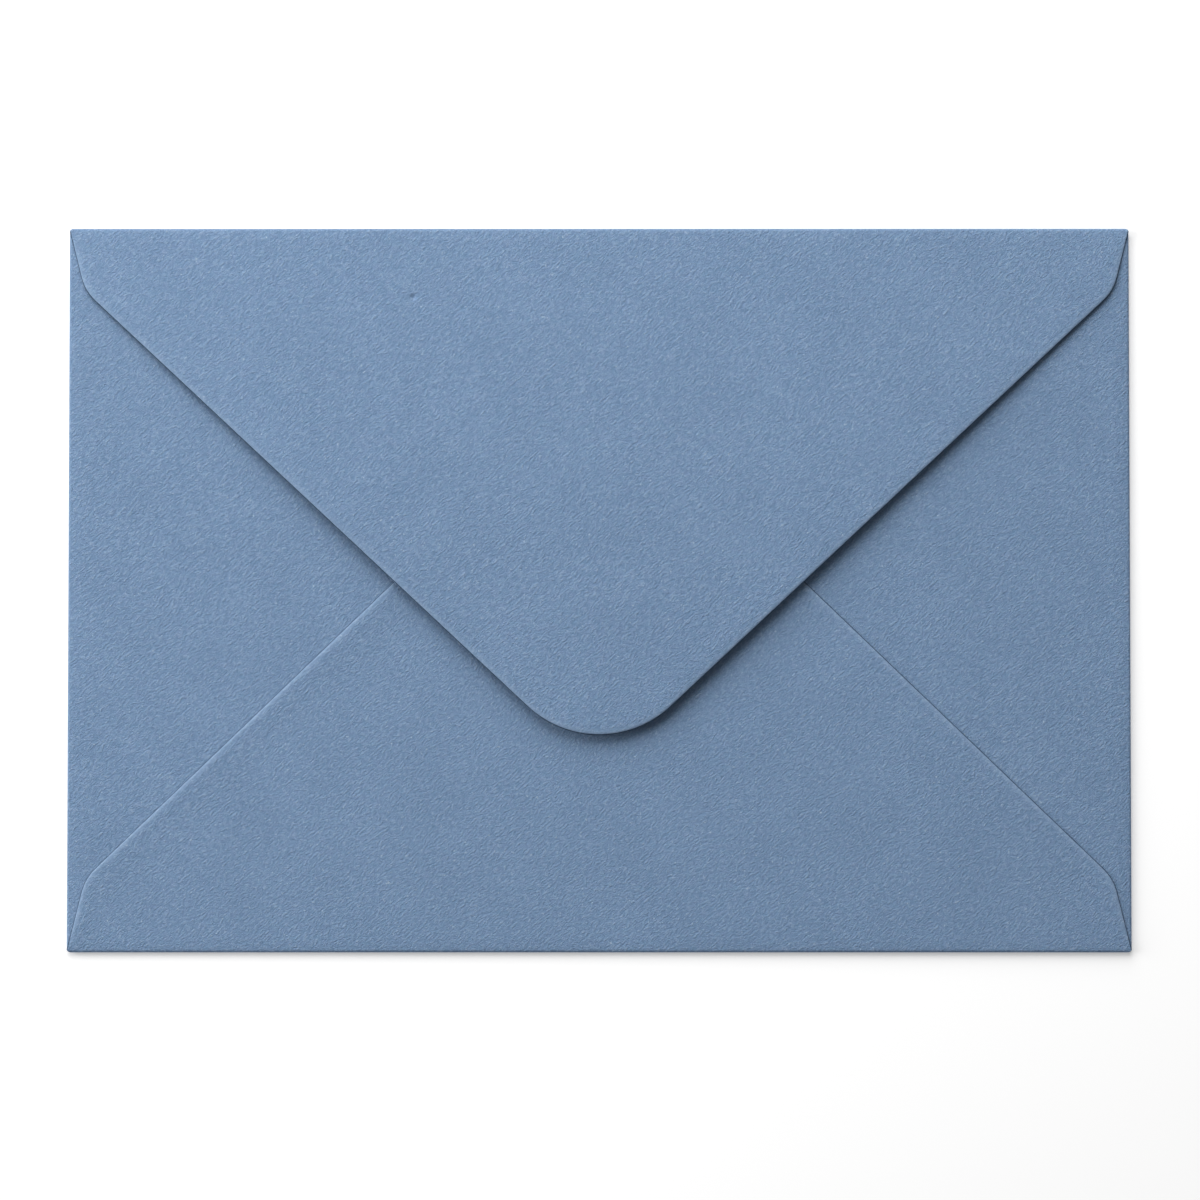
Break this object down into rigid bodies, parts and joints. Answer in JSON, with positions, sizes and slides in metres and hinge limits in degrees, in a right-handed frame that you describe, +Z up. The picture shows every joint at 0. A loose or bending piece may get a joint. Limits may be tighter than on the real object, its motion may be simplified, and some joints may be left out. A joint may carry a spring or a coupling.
{
  "type": "paper envelope",
  "caption": "empty paper envelope lying flap side up, a folded sheet with a deep round-tipped top flap closed over a glued bottom flap and side flaps",
  "frame": {"origin": "on the surface the envelope lies on, under the middle of its front panel", "axes": "+X along the top fold, the envelope's length; +Y from the bottom fold to the top fold; +Z up, out of the flap side"},
  "size_m": [0.176, 0.12, 0.0034],
  "materials": {
    "paper": "matt blue coloured writing paper with a fine felt mark"
  },
  "bodies": {
    "root": {"envelope": "paper"}
  },
  "joints": []
}
